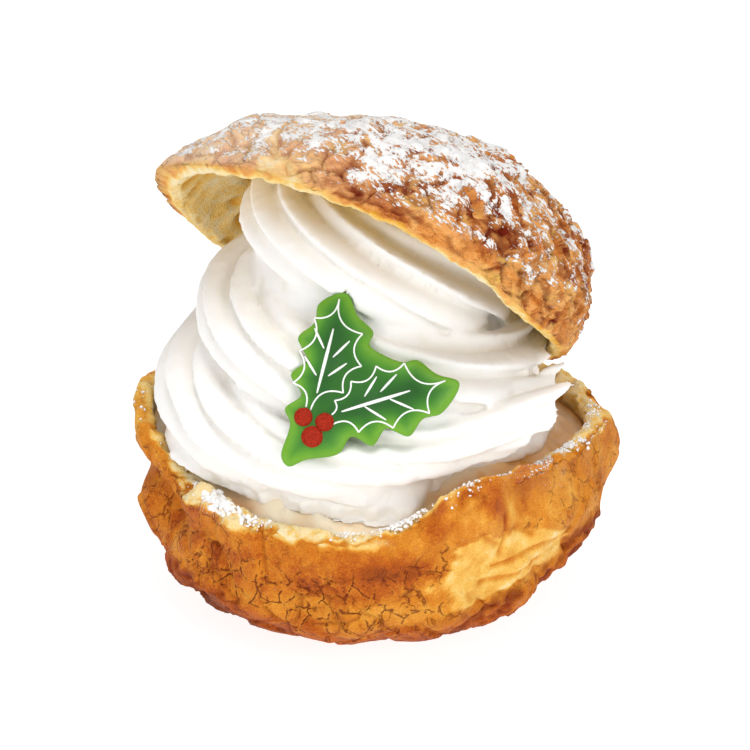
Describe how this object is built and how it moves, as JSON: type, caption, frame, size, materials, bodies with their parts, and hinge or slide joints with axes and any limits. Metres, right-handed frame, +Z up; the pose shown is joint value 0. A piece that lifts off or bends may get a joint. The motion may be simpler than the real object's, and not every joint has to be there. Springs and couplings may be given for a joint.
{
  "type": "cream puff",
  "caption": "Choux cream puff cut open: hollow crust base filled with custard, a piped swirl of whipped cream, the leaning crust cap and a holly decoration.",
  "frame": {"origin": "middle of the flat underside of the base", "axes": "+Z up; the front with the holly decoration faces -Y; +X to the right seen from the front"},
  "size_m": [0.0875, 0.081, 0.096],
  "materials": {
    "base_crust": "matte cracked baked crust",
    "custard": "soft satin custard",
    "whipped_cream": "soft matte cream",
    "cap_crust": "matte cracked baked crust with sugar dust",
    "holly_sugar": "satin moulded sugar"
  },
  "bodies": {
    "root": {"base_shell": "base_crust", "custard_filling": "custard", "cream_swirl": "whipped_cream", "cap_shell": "cap_crust", "holly_plaque": "holly_sugar"}
  },
  "joints": []
}
